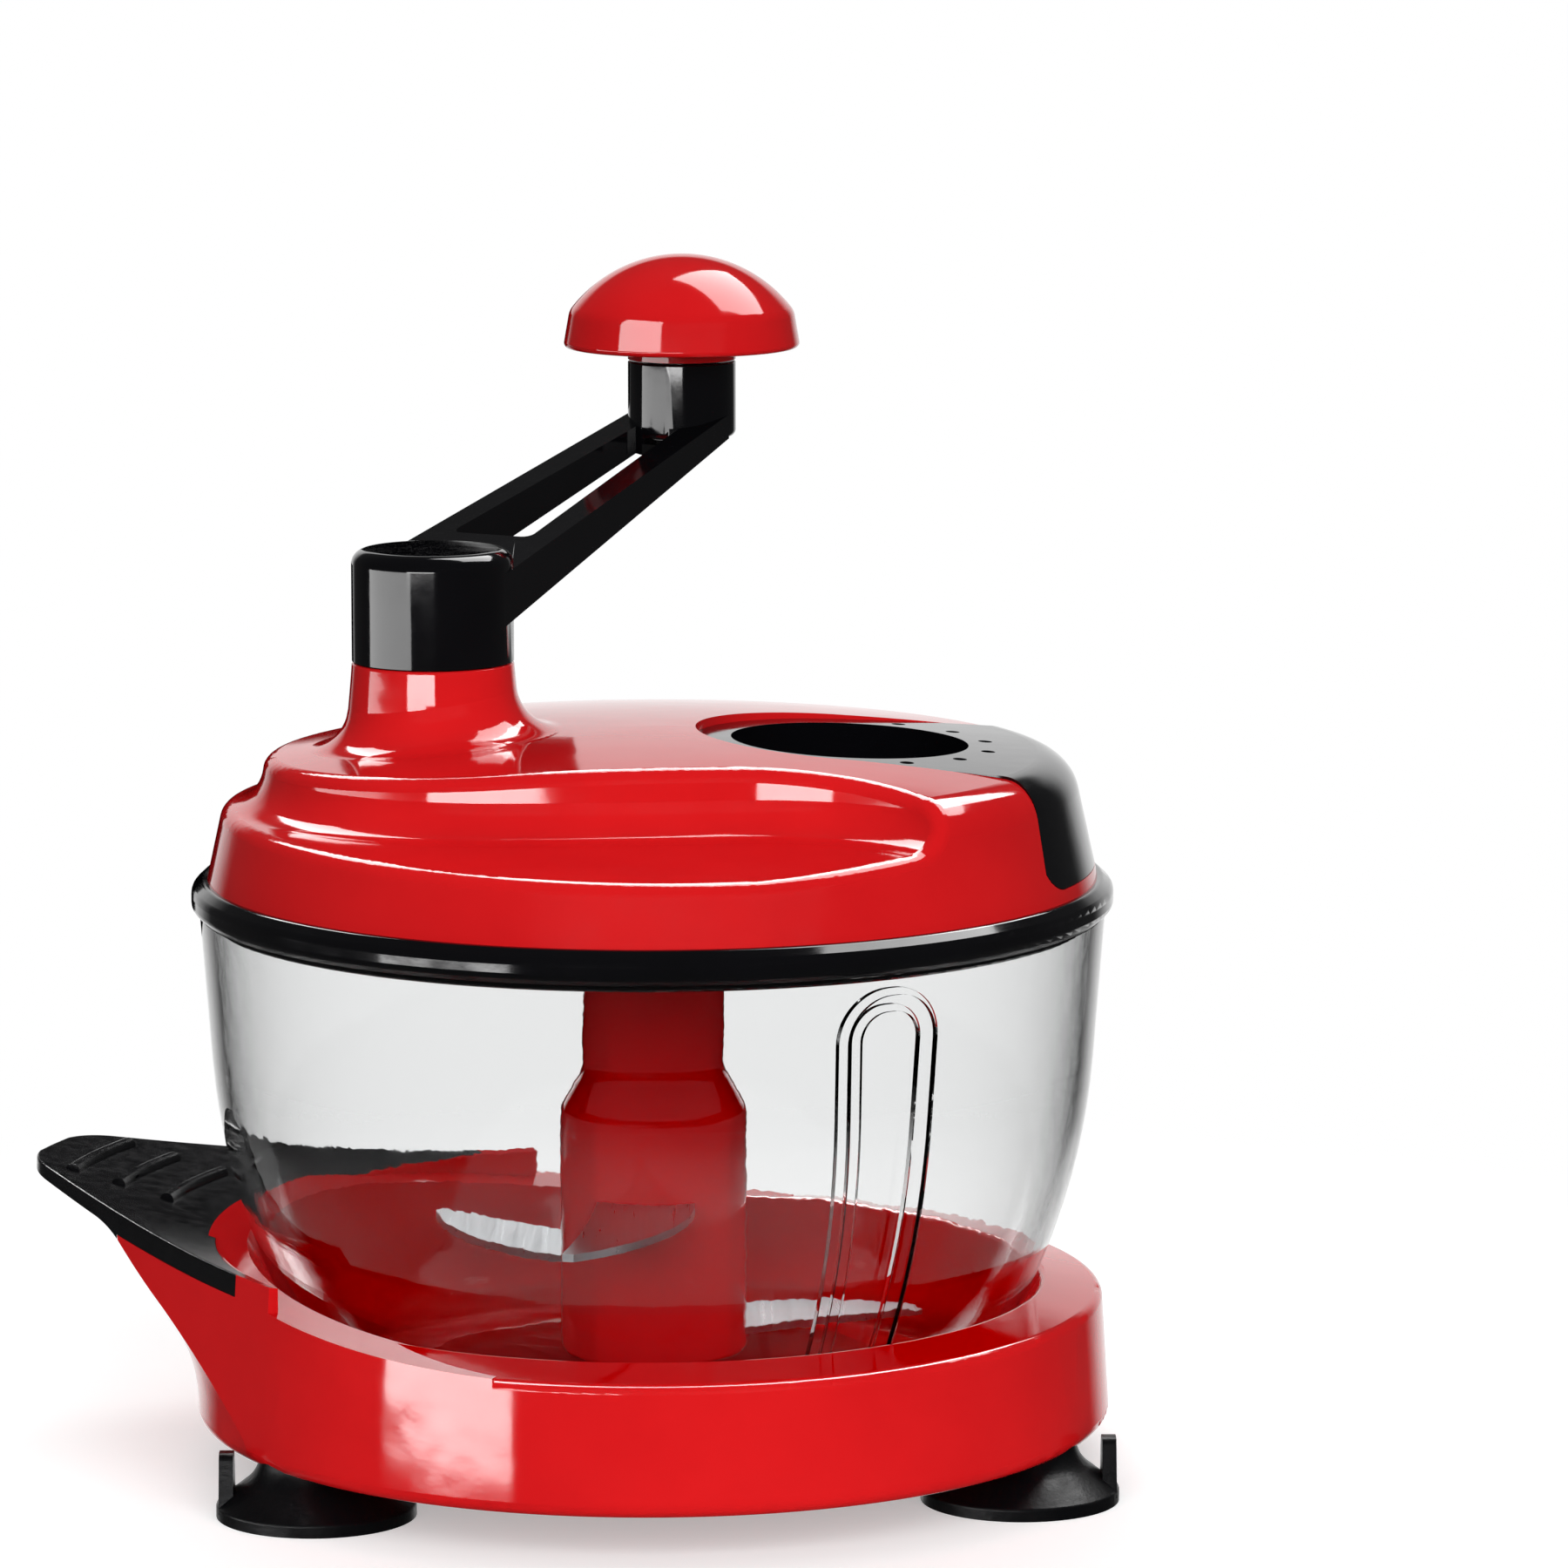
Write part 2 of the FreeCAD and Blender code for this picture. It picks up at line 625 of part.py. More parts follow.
def blade_sleeve():
    """Moulded column with a six-sided socket at its top and a bearing seat at its foot."""
    column = revolve([
        (0, SLEEVE_FOOT_Z), (SLEEVE_FOOT_R, SLEEVE_FOOT_Z, SLEEVE_EDGE),
        (SLEEVE_FOOT_R, SLEEVE_FOOT_TOP_Z, SLEEVE_FOOT_ROUND),
        (SLEEVE_R, SLEEVE_NECK_Z, SLEEVE_NECK_ROUND),
        (SLEEVE_R, SLEEVE_TOP_Z, SLEEVE_EDGE), (0, SLEEVE_TOP_Z)])
    socket = hexagon(DOG_FLATS + 2 * LOOSE, DOG_FOOT_Z - LOOSE, COVER_Z)
    seat = cylinder(SLEEVE_BUSH_R, SEAT_Z, SLEEVE_FOOT_Z + SLEEVE_BUSH_LENGTH)
    well = cylinder(PIVOT_PIN_R + LOOSE, SEAT_Z, PIVOT_PIN_TOP_Z + 2 * LOOSE)
    blades = [blade(name) for name in BLADES]
    return column.cut([socket, seat, well] + blades)


def blade_bush():
    """Plain bearing pressed into the sleeve, running on the pivot pin."""
    top = SLEEVE_FOOT_Z + SLEEVE_BUSH_LENGTH
    return revolve([
        (PIVOT_PIN_R + RUNNING, SLEEVE_FOOT_Z), (SLEEVE_BUSH_R - FIXED, SLEEVE_FOOT_Z, BUSH_EDGE),
        (SLEEVE_BUSH_R - FIXED, top), (PIVOT_PIN_R + RUNNING, top)])


def blade(name):
    """Swept-back steel blade with a bowed leading side."""
    tip_r, height, angle = (BLADES[name][key] for key in ("tip_r", "z", "angle"))
    half = BLADE_WIDTH / 2
    middle_r = (BLADE_ROOT_R + tip_r) / 2
    lead_root, lead_mid = Vector(BLADE_ROOT_R, half, 0), Vector(middle_r, half + BLADE_BOW, 0)
    tip = Vector(tip_r, half - BLADE_SWEEP, 0)
    trail_mid = Vector(middle_r, -BLADE_HOLLOW, 0)
    trail_root = Vector(BLADE_ROOT_R, -half, 0)
    edge = Part.Arc(lead_root, lead_mid, tip).toShape()
    outline = Part.Wire([
        edge, Part.Arc(tip, trail_mid, trail_root).toShape(),
        Part.LineSegment(trail_root, lead_root).toShape()])
    plate = Part.Face(outline).extrude(Vector(0, 0, BLADE_THICK))
    plate = plate.common(cylinder(tip_r - BLADE_TIP_CUT, 0, BLADE_THICK))
    plate = plate.cut(cylinder(BLADE_EYE_R, 0, BLADE_THICK))
    plate.translate(Vector(0, 0, height))
    return turned(plate, angle)


# Gears

def involute_point(base_r, radius, phase):
    """A point of an involute of the base circle that starts at an angle, at a radius."""
    roll = math.sqrt(max(radius ** 2 / base_r ** 2 - 1, 0))
    angle = phase + roll - math.atan(roll)
    return Vector(radius * math.cos(angle), radius * math.sin(angle), 0)


def mirrored(point):
    return Vector(point.x, -point.y, 0)


def gear_blank(teeth, height, first_tooth):
    """A spur gear about the origin, with one tooth centred on the angle given."""
    pitch_r = GEAR_MODULE * teeth / 2
    base_r = pitch_r * math.cos(math.radians(PRESSURE_ANGLE))
    tip_r = pitch_r + GEAR_MODULE
    root_r = pitch_r - DEDENDUM * GEAR_MODULE
    start_r = max(base_r, root_r)
    tooth = math.pi / 2 - BACKLASH / GEAR_MODULE
    pressure = math.radians(PRESSURE_ANGLE)
    phase = -(tooth / teeth + math.tan(pressure) - pressure)
    flank = [involute_point(base_r, r, phase) for r in (start_r, (start_r + tip_r) / 2, tip_r)]
    foot = Vector(flank[0].x, flank[0].y, 0)
    foot.multiply(root_r / start_r)
    step = 360.0 / teeth
    next_foot = turned(Part.Vertex(foot), step).Point
    gap = turned(Part.Vertex(Vector(root_r, 0, 0)), step / 2).Point
    edges = [Part.Arc(*flank).toShape(),
             Part.Arc(flank[2], Vector(tip_r, 0, 0), mirrored(flank[2])).toShape(),
             Part.Arc(*[mirrored(p) for p in reversed(flank)]).toShape(),
             Part.Arc(mirrored(foot), gap, next_foot).toShape()]
    if root_r < base_r:
        edges.insert(0, Part.LineSegment(foot, flank[0]).toShape())
        edges.insert(4, Part.LineSegment(mirrored(flank[0]), mirrored(foot)).toShape())
    outline = []
    for index in range(teeth):
        outline += [turned(edge, first_tooth + index * step) for edge in edges]
    return Part.Face(Part.Wire(outline)).extrude(Vector(0, 0, height))


def drive_gear():
    """Large gear under the crank, with a six-sided hole and lightening holes."""
    gear = gear_blank(GEAR_TEETH, GEAR_HEIGHT, 180.0 / GEAR_TEETH)
    gear.translate(HUB_AXIS + Vector(0, 0, GEAR_Z))
    boss = cylinder(GEAR_BOSS_R, GEAR_Z, SHAFT_SHOULDER_Z, HUB_AXIS)
    cuts = [hexagon(GEAR_HEX_FLATS + 2 * FIXED, GEAR_Z, SHAFT_SHOULDER_Z, HUB_AXIS)]
    for index in range(GEAR_HOLES):
        centre = HUB_AXIS + polar(GEAR_HOLE_CIRCLE_R, index * 360.0 / GEAR_HOLES)
        cuts.append(cylinder(GEAR_HOLE_R, GEAR_Z, GEAR_Z + GEAR_HEIGHT, centre))
    return gear.fuse(boss).cut(cuts)


def drive_pinion():
    """Small gear on the bowl's axis, with journals and the dog that turns the blades."""
    gear = gear_blank(PINION_TEETH, GEAR_HEIGHT, 180.0)
    gear.translate(Vector(0, 0, GEAR_Z))
    gear_top = GEAR_Z + GEAR_HEIGHT
    cover_top = COVER_Z + COVER_THICK
    return fused(
        gear,
        cylinder(PINION_TOP_R, gear_top, gear_top + PINION_TOP_LENGTH),
        cylinder(PINION_COLLAR_R, cover_top + LOOSE, GEAR_Z),
        cylinder(PINION_JOURNAL_R, COVER_Z, cover_top + LOOSE),
        hexagon(DOG_FLATS, DOG_FOOT_Z, COVER_Z))


# Lid

def skirt_r(z):
    """Radius of the lid's leaning skirt."""
    return SKIRT_FOOT_R - SKIRT_LEAN * (z - SKIRT_FOOT_Z)


def lid_round(inset=0.0, top_z=LID_TOP_Z, dome_r=LID_DOME_R):
    """A round lid moved in by a distance: leaning skirt, rounded shoulder and shallow dome."""
    floor, foot = upright(0, SKIRT_FOOT_Z), upright(SKIRT_FOOT_R - inset, SKIRT_FOOT_Z)
    along = Vector(-SKIRT_LEAN, 0, 1).normalize()
    outward = Vector(1, 0, SKIRT_LEAN).normalize()
    dome_centre = upright(0, top_z - dome_r)
    shoulder = LID_SHOULDER - inset
    start = foot - outward * shoulder - dome_centre
    reach = start.dot(along)
    climb = math.sqrt(reach ** 2 - start.dot(start) + (dome_r - LID_SHOULDER) ** 2) - reach
    centre = dome_centre + start + along * climb
    skirt_end = centre + outward * shoulder
    dome_end = centre + (centre - dome_centre).normalize() * shoulder
    top = upright(0, top_z - inset)
    outline = Part.Wire([
        line(floor, foot), line(foot, skirt_end), arc_about(centre, skirt_end, dome_end),
        arc_about(dome_centre, dome_end, top), line(top, floor)])
    return Part.Face(outline).revolve(ORIGIN, UP, 360)


def lid_recess(grow=0.0):
    """Space over the ledge, round the plateau's front and side, widened by a distance."""
    low, high = LEDGE_Z - grow, HUB_TOP_Z
    wall_foot = PLATEAU_R - grow + PLATEAU_LEAN * grow
    wall_top = wall_foot - PLATEAU_LEAN * (high - low)
    far = PLATEAU_R + SKIRT_FOOT_R
    far_z = low - LEDGE_FALL * (far - wall_foot)
    wall = [(wall_top, high), (wall_foot, low, RECESS_FOOT_R + grow)]
    section = Part.Face(rounded_wire(
        wall + [(far, far_z), (far, high)], lambda u, v: Vector(PLATEAU_CENTRE_X, -u, v)))
    axis = Vector(PLATEAU_CENTRE_X, 0, 0)
    front_axis = axis + Vector(0, PLATEAU_FRONT_R - PLATEAU_R, 0)
    turn = math.degrees(math.asin((FLARE_X - PLATEAU_CENTRE_X) / PLATEAU_FRONT_R))
    flank = section.revolve(front_axis, UP, turn)
    bend = section.revolve(axis, UP, -RECESS_TURN)
    way = polar(1.0, 270.0 + turn)
    back = front_axis.dot(way)
    reach = math.sqrt(back ** 2 - front_axis.dot(front_axis) + (SKIRT_FOOT_R + LOOSE) ** 2) - back
    flare_u = reach + PLATEAU_R - PLATEAU_FRONT_R
    flare_z = low - LEDGE_FALL * (flare_u - wall_foot)
    pocket = [(flare_u - wall_top, high), (flare_u - wall_foot, low, RECESS_FOOT_R + grow)]
    pocket += [(0, flare_z), (0, high)]
    front_flare = revolve(pocket, front_axis + way * reach)
    rear_flare = revolve(pocket, axis + polar(flare_u, 270.0 - RECESS_TURN))
    return fused(flank, bend, front_flare, rear_flare)


def hub():
    """Upright hub for the crank."""
    post = revolve([
        (0, HUB_SEAT_Z), (HUB_FOOT_R, HUB_SEAT_Z), (HUB_R, HUB_TOP_Z, HUB_EDGE_R),
        (0, HUB_TOP_Z)], HUB_AXIS)
    return turned(post, 90.0, HUB_AXIS)


def insert_notch(inset):
    """Space of the feed insert: a ring round the hole that widens into a tongue."""
    half = INSERT_EDGE_HALF - inset
    ring = INSERT_RING_R - inset
    far_x = INSERT_EDGE_X + TONGUE_FLARE
    far_half = half + TONGUE_FLARE * TONGUE_WIDENING
    high = LID_TOP_Z + LID_WALL
    plan = prism([(FEED_X, -ring), (INSERT_EDGE_X, -half, INSERT_CORNER), (far_x, -far_half),
                  (far_x, far_half), (INSERT_EDGE_X, half, INSERT_CORNER), (FEED_X, ring)],
                 SKIRT_FOOT_Z, high)
    plan = fused(plan, cylinder(ring, SKIRT_FOOT_Z, high, Vector(FEED_X, 0, 0)))
    wide = TONGUE_HALF - inset
    low = TONGUE_FOOT_Z + inset
    window = Part.Face(rounded_wire(
        [(-wide, low, TONGUE_CORNER), (wide, low, TONGUE_CORNER), (wide, high), (-wide, high)],
        lambda u, v: Vector(0, u, v))).extrude(Vector(2 * SKIRT_FOOT_R, 0, 0))
    return plan.common(window)


def lid_outside():
    """The lid's outer form: dome, recess with rounded edges, and hub with a wide round foot."""
    dome, recess, post = lid_round(), lid_recess(), hub()
    body = fused(dome, post)
    body = body.makeFillet(HUB_FOOT_ROUND, edges_on(body, dome, post, LEDGE_Z))
    body = body.cut(recess).removeSplitter()
    return body.makeFillet(RECESS_EDGE_R, edges_on(body, dome, recess, SKIRT_FOOT_Z + LID_WALL))


def lid_shell():
    """Red lid: skirt, ledge, plateau and hub, hollow below, notched for the insert."""
    cavity = lid_round(LID_WALL).cut(lid_recess(LID_WALL))
    cavity = cavity.cut(cylinder(HUB_FOOT_R, HUB_SEAT_Z, HUB_TOP_Z, HUB_AXIS))
    body = lid_outside().cut(cavity).cut(insert_notch(0))
    gear_top = GEAR_Z + GEAR_HEIGHT
    bosses = [cylinder(PINION_BOSS_R, gear_top + LOOSE, LID_TOP_Z)]
    holes = [cylinder(PINION_TOP_R + RUNNING, GEAR_Z, gear_top + PINION_TOP_LENGTH + LOOSE),
             cylinder(BUSH_R, LEDGE_Z, HUB_TOP_Z, HUB_AXIS)]
    for angle in SCREW_ANGLES:
        centre = polar(SCREW_CIRCLE_R, angle)
        bosses.append(cylinder(SCREW_BOSS_R, COVER_Z + COVER_THICK, LID_TOP_Z, centre))
        holes.append(cylinder(SCREW_R + FIXED, COVER_Z, COVER_Z + SCREW_LENGTH + LOOSE, centre))
    middle = LID_WALL / 2
    above = cylinder(SKIRT_FOOT_R, LEDGE_Z, HUB_TOP_Z).cut(lid_round(middle))
    bosses = [boss.cut([above, lid_recess(middle)]) for boss in bosses]
    return fused(body, *bosses).cut(holes)


SEAL_CIRCLE_R = BOWL_RIM_R - BOWL_WALL / 2


def lid_rim_ring():
    """Glossy ring under the skirt: bead outside, spigot into the bowl, groove over the bowl's rim."""
    upstand_r = SKIRT_FOOT_R - LID_WALL - SEAM
    upstand_z = SKIRT_FOOT_Z + RING_UPSTAND
    upstand_top_r = skirt_r(upstand_z) - LID_WALL - SEAM
    bead_r = RING_R - BEAD_SINK
    groove = SEAL_R + SEAM / 2
    groove_z = BOWL_TOP_Z + 2 * (SEAL_R + SEAM)
    return revolve([
        (RING_BORE_R, RING_FOOT_Z, RING_EDGE), (RING_SPIGOT_R, RING_FOOT_Z, RING_EDGE),
        (RING_SPIGOT_R, BOWL_TOP_Z), (SEAL_CIRCLE_R - groove, BOWL_TOP_Z),
        (SEAL_CIRCLE_R - groove, groove_z), (SEAL_CIRCLE_R + groove, groove_z),
        (SEAL_CIRCLE_R + groove, BOWL_TOP_Z), (bead_r + RING_EDGE, BOWL_TOP_Z, RING_EDGE),
        (RING_R, BOWL_TOP_Z + BEAD_FOOT_ROUND, BEAD_FOOT_ROUND),
        (RING_R, SKIRT_FOOT_Z - BEAD_TOP_ROUND, BEAD_TOP_ROUND),
        (bead_r, SKIRT_FOOT_Z, BEAD_LIP_ROUND), (upstand_r, SKIRT_FOOT_Z),
        (upstand_top_r, upstand_z), (RING_BORE_R, upstand_z)])


def lid_seal():
    """Soft ring in the groove over the bowl's rim."""
    return Part.makeTorus(SEAL_CIRCLE_R, SEAL_R, Vector(0, 0, BOWL_TOP_Z + SEAL_R + SEAM))


def feed_insert():
    """Black insert with the feed tube, vent holes and a tongue down the skirt."""
    outside = lid_round(0, INSERT_TOP_Z, INSERT_DOME_R)
    skin = outside.cut(lid_round(LID_WALL, INSERT_TOP_Z, INSERT_DOME_R))
    plate = skin.common(insert_notch(SEAM))
    centre = Vector(FEED_X, 0, 0)
    tube_r = FEED_R + FEED_WALL
    tube = cylinder(tube_r, FEED_FOOT_Z, LEDGE_Z, centre)
    collar = cylinder(tube_r, LEDGE_Z, INSERT_TOP_Z, centre).common(outside)
    cuts = [cylinder(FEED_R, FEED_FOOT_Z, INSERT_TOP_Z, centre)]
    for angle in VENT_ANGLES:
        place = centre + polar(VENT_CIRCLE_R, angle)
        cuts.append(cylinder(VENT_R, LEDGE_Z, INSERT_TOP_Z, place))
    return fused(plate, tube, collar).cut(cuts)


def gear_cover():
    """Plate that closes the gear case, with holes for the pinion, the feed tube and screws."""
    top_z = COVER_Z + COVER_THICK
    outer_r = RING_BORE_R - LOOSE
    plate = revolve([
        (0, COVER_Z), (outer_r, COVER_Z, COVER_EDGE), (outer_r, top_z + COVER_RIM),
        (outer_r - COVER_THICK, top_z + COVER_RIM), (outer_r - COVER_THICK, top_z), (0, top_z)])
    cuts = [cylinder(PINION_JOURNAL_R + RUNNING, COVER_Z, top_z),
            cylinder(FEED_R + FEED_WALL + LOOSE, COVER_Z, top_z, Vector(FEED_X, 0, 0))]
    for angle in SCREW_ANGLES:
        centre = polar(SCREW_CIRCLE_R, angle)
        cuts.append(cylinder(SCREW_R + FIXED, COVER_Z, top_z, centre))
        cuts.append(cylinder(SCREW_BOSS_R + SEAM, top_z, top_z + COVER_RIM, centre))
    return plate.cut(cuts)


def gear_cover_screws():
    """Four self-tapping screws that hold the cover to the lid's bosses."""
    screws = []
    for angle in SCREW_ANGLES:
        screws.append(revolve([
            (0, COVER_Z - SCREW_HEAD_HEIGHT), (SCREW_HEAD_R, COVER_Z - SCREW_HEAD_HEIGHT, SCREW_HEAD_ROUND),
            (SCREW_HEAD_R, COVER_Z), (SCREW_R, COVER_Z),
            (SCREW_R, COVER_Z + SCREW_LENGTH, SCREW_TIP_ROUND),
            (0, COVER_Z + SCREW_LENGTH)], polar(SCREW_CIRCLE_R, angle)))
    return Part.makeCompound(screws)


def crank_bush():
    """Flanged bearing of the crank's shaft, pressed into the hub from below."""
    low = HUB_SEAT_Z - BUSH_FLANGE
    return revolve([
        (SHAFT_R + RUNNING, low), (BUSH_FLANGE_R, low, BUSH_EDGE),
        (BUSH_FLANGE_R, HUB_SEAT_Z), (BUSH_R - FIXED, HUB_SEAT_Z), (BUSH_R - FIXED, HUB_TOP_Z),
        (SHAFT_R + RUNNING, HUB_TOP_Z)], HUB_AXIS)


# Crank

def crank_arm():
    """Crank: round hub cap, slotted arm that narrows as it climbs, and the knob's neck."""
    cap_foot = HUB_TOP_Z + LOOSE
    cap = revolve([(0, cap_foot), (HUB_R, cap_foot), (HUB_R, CRANK_TOP_Z, CRANK_TOP_ROUND),
                   (0, CRANK_TOP_Z)])
    lean = math.asin((HUB_R - NECK_R) / CRANK_LENGTH)
    hub_x, hub_y = HUB_R * math.sin(lean), HUB_R * math.cos(lean)
    neck_x, neck_y = CRANK_LENGTH + NECK_R * math.sin(lean), NECK_R * math.cos(lean)
    plan = prism([(hub_x, -hub_y), (neck_x, -neck_y), (neck_x, neck_y), (hub_x, hub_y)],
                 cap_foot, NECK_TOP_Z)
    side = Part.Face(rounded_wire(
        [(0, ARM_HUB_FOOT_Z), (CRANK_LENGTH, ARM_NECK_FOOT_Z), (CRANK_LENGTH, ARM_NECK_TOP_Z),
         (0, ARM_HUB_TOP_Z)], upright))
    side.translate(Vector(0, -HUB_R, 0))
    bar = side.extrude(Vector(0, 2 * HUB_R, 0)).common(plan)
    slot_end = CRANK_LENGTH - NECK_R / 2
    wide, narrow = SLOT_WIDTH / 2, SLOT_TIP_WIDTH / 2
    slot = prism([(SLOT_START, -wide, SLOT_CORNER), (slot_end, -narrow), (slot_end, narrow),
                  (SLOT_START, wide, SLOT_CORNER)], cap_foot, NECK_TOP_Z)
    neck_axis = Vector(CRANK_LENGTH, 0, 0)
    neck = revolve([
        (0, ARM_NECK_FOOT_Z), (NECK_R, ARM_NECK_FOOT_Z, NECK_FOOT_ROUND),
        (NECK_R, NECK_TOP_Z, NECK_EDGE), (0, NECK_TOP_Z)], neck_axis)
    pin_hole = cylinder(KNOB_PIN_R + FIXED, NECK_TOP_Z - KNOB_PIN_SINK, NECK_TOP_Z, neck_axis)
    socket = hexagon(SHAFT_HEX_FLATS + 2 * FIXED, cap_foot, SHAFT_HEX_TOP_Z + LOOSE)
    crank = fused(bar.cut(slot), cap, neck).cut([pin_hole, socket])
    crank.translate(HUB_AXIS)
    return turned(crank, CRANK_ANGLE, HUB_AXIS)


def crank_shaft():
    """Steel shaft: six-sided in the crank and the gear, round in the bush."""
    cap_foot = HUB_TOP_Z + LOOSE
    low_z = GEAR_Z
    shaft = fused(
        turned(hexagon(SHAFT_HEX_FLATS, cap_foot, SHAFT_HEX_TOP_Z, HUB_AXIS), CRANK_ANGLE, HUB_AXIS),
        cylinder(SHAFT_R, SHAFT_SHOULDER_Z, cap_foot, HUB_AXIS),
        hexagon(GEAR_HEX_FLATS, low_z, SHAFT_SHOULDER_Z, HUB_AXIS))
    return shaft.cut(cylinder(GEAR_SCREW_R + FIXED, low_z, low_z + GEAR_SCREW_LENGTH, HUB_AXIS))


def gear_washer():
    """Washer under the drive gear."""
    return revolve([
        (GEAR_SCREW_R + FIXED, GEAR_Z - WASHER_THICK),
        (WASHER_R, GEAR_Z - WASHER_THICK, WASHER_EDGE),
        (WASHER_R, GEAR_Z, WASHER_EDGE), (GEAR_SCREW_R + FIXED, GEAR_Z)], HUB_AXIS)


def gear_screw():
    """Screw from below that holds the washer and the gear on the shaft."""
    seat = GEAR_Z - WASHER_THICK
    tip = seat + GEAR_SCREW_LENGTH
    return revolve([
        (0, seat - GEAR_SCREW_HEAD),
        (GEAR_SCREW_HEAD_R, seat - GEAR_SCREW_HEAD, SCREW_HEAD_ROUND),
        (GEAR_SCREW_HEAD_R, seat), (GEAR_SCREW_R, seat), (GEAR_SCREW_R, tip, SCREW_TIP_ROUND),
        (0, tip)], HUB_AXIS)


# Knob

def knob_pin():
    """Headed steel pin fixed in the crank's neck, on which the knob spins."""
    low = NECK_TOP_Z - KNOB_PIN_SINK
    head = KNOB_BUSH_TOP_Z + LOOSE
    return revolve([
        (0, low), (KNOB_PIN_R, low), (KNOB_PIN_R, head), (KNOB_HEAD_R, head),
        (KNOB_HEAD_R, head + KNOB_HEAD, KNOB_HEAD_ROUND), (0, head + KNOB_HEAD)], KNOB_AXIS)


def knob_bush():
    """Bearing pressed into the knob, held under the pin's head."""
    low = NECK_TOP_Z + LOOSE
    return revolve([
        (KNOB_PIN_R + RUNNING, low), (KNOB_BUSH_R - FIXED, low), (KNOB_BUSH_R - FIXED, KNOB_BUSH_TOP_Z),
        (KNOB_PIN_R + RUNNING, KNOB_BUSH_TOP_Z)], KNOB_AXIS)


def knob_shell():
    """Mushroom knob: short collar, overhanging rim and a domed top, hollow below."""
    low = NECK_TOP_Z + LOOSE
    drop = KNOB_TOP_Z - KNOB_SHOULDER_Z
    dome_r = KNOB_SHOULDER_R ** 2 / (2 * drop) + drop / 2
    mid_r = KNOB_SHOULDER_R / 2
    mid_z = KNOB_TOP_Z - dome_r + math.sqrt(dome_r ** 2 - mid_r ** 2)
    points = [upright(0, low), upright(NECK_R, low), upright(NECK_R, KNOB_RIM_Z),
              upright(KNOB_RIM_R, KNOB_RIM_Z), upright(KNOB_SHOULDER_R, KNOB_SHOULDER_Z)]
    edges = [Part.LineSegment(a, b).toShape() for a, b in zip(points, points[1:])]
    top = upright(0, KNOB_TOP_Z)
    edges.append(Part.Arc(points[-1], upright(mid_r, mid_z), top).toShape())
    edges.append(Part.LineSegment(top, points[0]).toShape())
    body = Part.Face(Part.Wire(edges)).revolve(ORIGIN, UP, 360)
    shoulder = [e for e in body.Edges if e.Length > 6 * KNOB_SHOULDER_R
                and abs(e.BoundBox.ZMin - KNOB_SHOULDER_Z) < SHORTEST]
    rim = [e for e in body.Edges if e.Length > 6 * KNOB_SHOULDER_R
           and abs(e.BoundBox.ZMax - KNOB_RIM_Z) < SHORTEST]
    body = body.makeFillet(KNOB_ROUND, shoulder).makeFillet(KNOB_RIM_ROUND, rim[:1])
    recess = revolve([
        (NECK_R + KNOB_COLLAR, 0), (KNOB_RIM_R - KNOB_WALL, 0),
        (KNOB_SHOULDER_R - KNOB_WALL, KNOB_RIM_Z + KNOB_RECESS, KNOB_RECESS_ROUND),
        (NECK_R + KNOB_COLLAR, KNOB_RIM_Z + KNOB_RECESS, KNOB_RECESS_ROUND)])
    seat = cylinder(KNOB_BUSH_R, 0, KNOB_BUSH_TOP_Z)
    room = cylinder(KNOB_HEAD_R + LOOSE, 0, KNOB_BUSH_TOP_Z + KNOB_HEAD + 3 * LOOSE)
    body = body.cut([recess, seat, room])
    body.translate(KNOB_AXIS)
    return body


def main():
    pieces = {
        "base_tray": base_tray(), "handle_grip": handle_grip(),
        "bowl": bowl(), "pivot_pin": pivot_pin(),
        "blade_sleeve": blade_sleeve(), "blade_bush": blade_bush(),
        "lid_shell": lid_shell(), "lid_rim_ring": lid_rim_ring(), "lid_seal": lid_seal(),
        "feed_insert": feed_insert(), "gear_cover": gear_cover(),
        "gear_cover_screws": gear_cover_screws(), "crank_bush": crank_bush(),
        "crank_arm": crank_arm(), "crank_shaft": crank_shaft(), "drive_gear": drive_gear(),
        "gear_washer": gear_washer(), "gear_screw": gear_screw(), "drive_pinion": drive_pinion(),
        "knob_pin": knob_pin(), "knob_shell": knob_shell(), "knob_bush": knob_bush(),
    }
    for name in FOOT_ANGLES:
        pieces["suction_foot_" + name] = suction_foot(name)
    for name in BLADES:
        pieces[name + "_blade"] = blade(name)
    os.makedirs("parts", exist_ok=True)
    for name, shape in pieces.items():
        shape.exportStep("parts/" + name + ".step")
        print(name, shape.isValid(), len(shape.Solids), round(shape.Volume, 1))


main()
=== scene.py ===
import json
import math

import bmesh
import bpy
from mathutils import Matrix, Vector


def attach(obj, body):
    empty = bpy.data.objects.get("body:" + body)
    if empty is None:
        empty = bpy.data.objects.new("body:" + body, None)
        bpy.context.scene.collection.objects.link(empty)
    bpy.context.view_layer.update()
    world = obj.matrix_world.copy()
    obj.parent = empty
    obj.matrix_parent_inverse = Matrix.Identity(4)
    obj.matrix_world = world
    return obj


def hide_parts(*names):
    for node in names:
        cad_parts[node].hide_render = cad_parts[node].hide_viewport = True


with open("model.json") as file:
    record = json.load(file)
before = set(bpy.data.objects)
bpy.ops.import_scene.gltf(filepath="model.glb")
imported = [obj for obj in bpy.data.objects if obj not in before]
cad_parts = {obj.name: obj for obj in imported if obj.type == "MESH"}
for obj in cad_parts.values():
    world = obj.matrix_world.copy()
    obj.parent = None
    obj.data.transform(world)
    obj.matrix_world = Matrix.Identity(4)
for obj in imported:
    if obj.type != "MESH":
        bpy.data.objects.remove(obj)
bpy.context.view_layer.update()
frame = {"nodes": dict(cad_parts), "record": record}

NODES = frame["nodes"]
